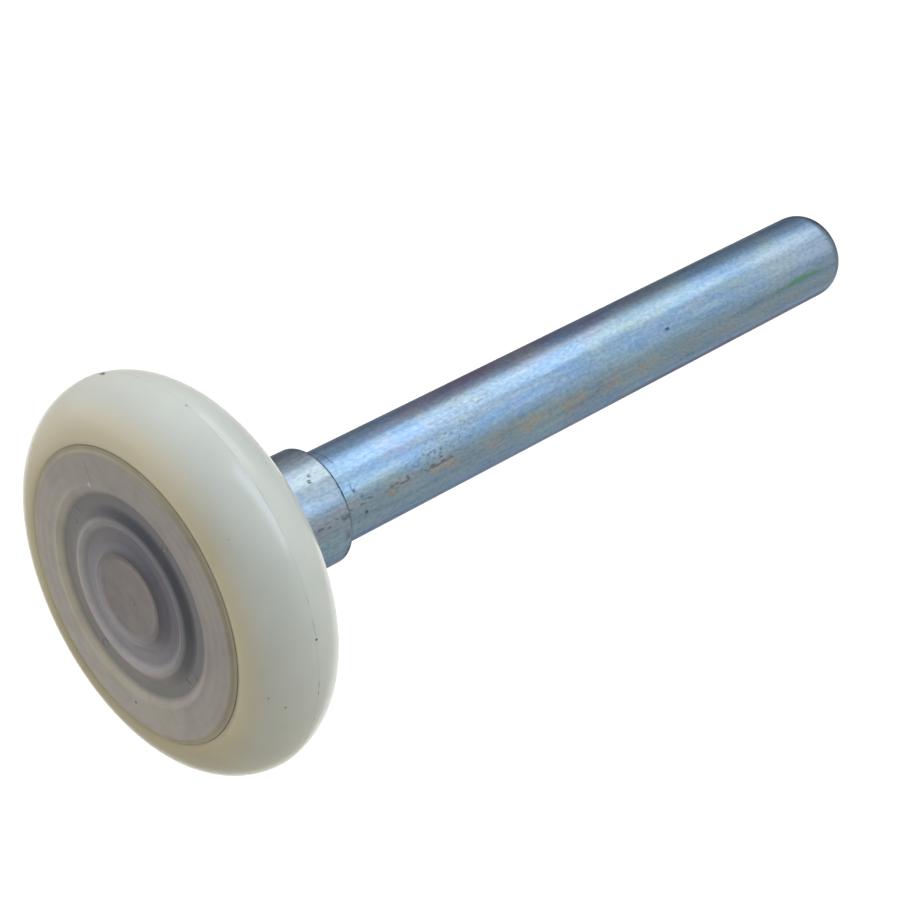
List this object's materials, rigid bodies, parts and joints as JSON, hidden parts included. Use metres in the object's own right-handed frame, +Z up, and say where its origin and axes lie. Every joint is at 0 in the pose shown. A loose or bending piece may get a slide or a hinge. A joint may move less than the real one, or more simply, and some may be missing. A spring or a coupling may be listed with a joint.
{
  "type": "garage door track roller",
  "caption": "Crowned nylon wheel with a dust cap, turning on a shielded ball bearing at the end of a long plain zinc-plated stem.",
  "frame": {"origin": "on the stem's axis, in the plane of the collar's rear shoulder, where the hinge's sleeve stops", "axes": "+Y along the stem from the wheel to the free end, +Z up, +X to the right seen from the wheel's capped face"},
  "size_m": [0.0456, 0.1136, 0.0456],
  "materials": {
    "nylon": "milky semi-gloss moulded nylon",
    "cap_plastic": "translucent satin moulded plastic",
    "zinc_plate": "bright blue zinc plate with drawing lines",
    "ring_steel": "ground steel",
    "shield_steel": "pressed bright steel sheet",
    "ball_steel": "polished bearing steel",
    "cage_steel": "pressed steel strip"
  },
  "bodies": {
    "stem_assembly": {"stem": "zinc_plate", "collar": "zinc_plate", "inner_ring": "ring_steel"},
    "wheel": {"tyre": "nylon", "dust_cap": "cap_plastic", "outer_ring": "ring_steel", "front_shield": "shield_steel", "rear_shield": "shield_steel"},
    "ball_cage": {"cage_front": "cage_steel", "cage_rear": "cage_steel", "cage_rivet_1": "cage_steel", "cage_rivet_2": "cage_steel", "cage_rivet_3": "cage_steel", "cage_rivet_4": "cage_steel", "cage_rivet_5": "cage_steel", "cage_rivet_6": "cage_steel", "cage_rivet_7": "cage_steel", "cage_rivet_8": "cage_steel"},
    "ball_1_body": {"ball_1": "ball_steel"},
    "ball_2_body": {"ball_2": "ball_steel"},
    "ball_3_body": {"ball_3": "ball_steel"},
    "ball_4_body": {"ball_4": "ball_steel"},
    "ball_5_body": {"ball_5": "ball_steel"},
    "ball_6_body": {"ball_6": "ball_steel"},
    "ball_7_body": {"ball_7": "ball_steel"},
    "ball_8_body": {"ball_8": "ball_steel"}
  },
  "joints": [
    {"name": "wheel_spin", "type": "hinge", "parent": "stem_assembly", "child": "wheel", "pos_m": [0, -0.01915, 0], "axis": [0, 1, 0], "continuous": true},
    {"name": "cage_spin", "type": "hinge", "parent": "stem_assembly", "child": "ball_cage", "pos_m": [0, -0.01885, 0], "axis": [0, 1, 0], "continuous": true},
    {"name": "ball_1_spin", "type": "hinge", "parent": "ball_cage", "child": "ball_1_body", "pos_m": [0.01, -0.01885, 0], "axis": [0, 1, 0], "continuous": true},
    {"name": "ball_2_spin", "type": "hinge", "parent": "ball_cage", "child": "ball_2_body", "pos_m": [0.00707, -0.01885, -0.00707], "axis": [0, 1, 0], "continuous": true},
    {"name": "ball_3_spin", "type": "hinge", "parent": "ball_cage", "child": "ball_3_body", "pos_m": [0, -0.01885, -0.01], "axis": [0, 1, 0], "continuous": true},
    {"name": "ball_4_spin", "type": "hinge", "parent": "ball_cage", "child": "ball_4_body", "pos_m": [-0.00707, -0.01885, -0.00707], "axis": [0, 1, 0], "continuous": true},
    {"name": "ball_5_spin", "type": "hinge", "parent": "ball_cage", "child": "ball_5_body", "pos_m": [-0.01, -0.01885, 0], "axis": [0, 1, 0], "continuous": true},
    {"name": "ball_6_spin", "type": "hinge", "parent": "ball_cage", "child": "ball_6_body", "pos_m": [-0.00707, -0.01885, 0.00707], "axis": [0, 1, 0], "continuous": true},
    {"name": "ball_7_spin", "type": "hinge", "parent": "ball_cage", "child": "ball_7_body", "pos_m": [0, -0.01885, 0.01], "axis": [0, 1, 0], "continuous": true},
    {"name": "ball_8_spin", "type": "hinge", "parent": "ball_cage", "child": "ball_8_body", "pos_m": [0.00707, -0.01885, 0.00707], "axis": [0, 1, 0], "continuous": true}
  ],
  "couplings": [
    {"joint": "cage_spin", "follows": "wheel_spin", "ratio": 0.619},
    {"joint": "ball_1_spin", "follows": "wheel_spin", "ratio": 1.9818},
    {"joint": "ball_2_spin", "follows": "wheel_spin", "ratio": 1.9818},
    {"joint": "ball_3_spin", "follows": "wheel_spin", "ratio": 1.9818},
    {"joint": "ball_4_spin", "follows": "wheel_spin", "ratio": 1.9818},
    {"joint": "ball_5_spin", "follows": "wheel_spin", "ratio": 1.9818},
    {"joint": "ball_6_spin", "follows": "wheel_spin", "ratio": 1.9818},
    {"joint": "ball_7_spin", "follows": "wheel_spin", "ratio": 1.9818},
    {"joint": "ball_8_spin", "follows": "wheel_spin", "ratio": 1.9818}
  ]
}
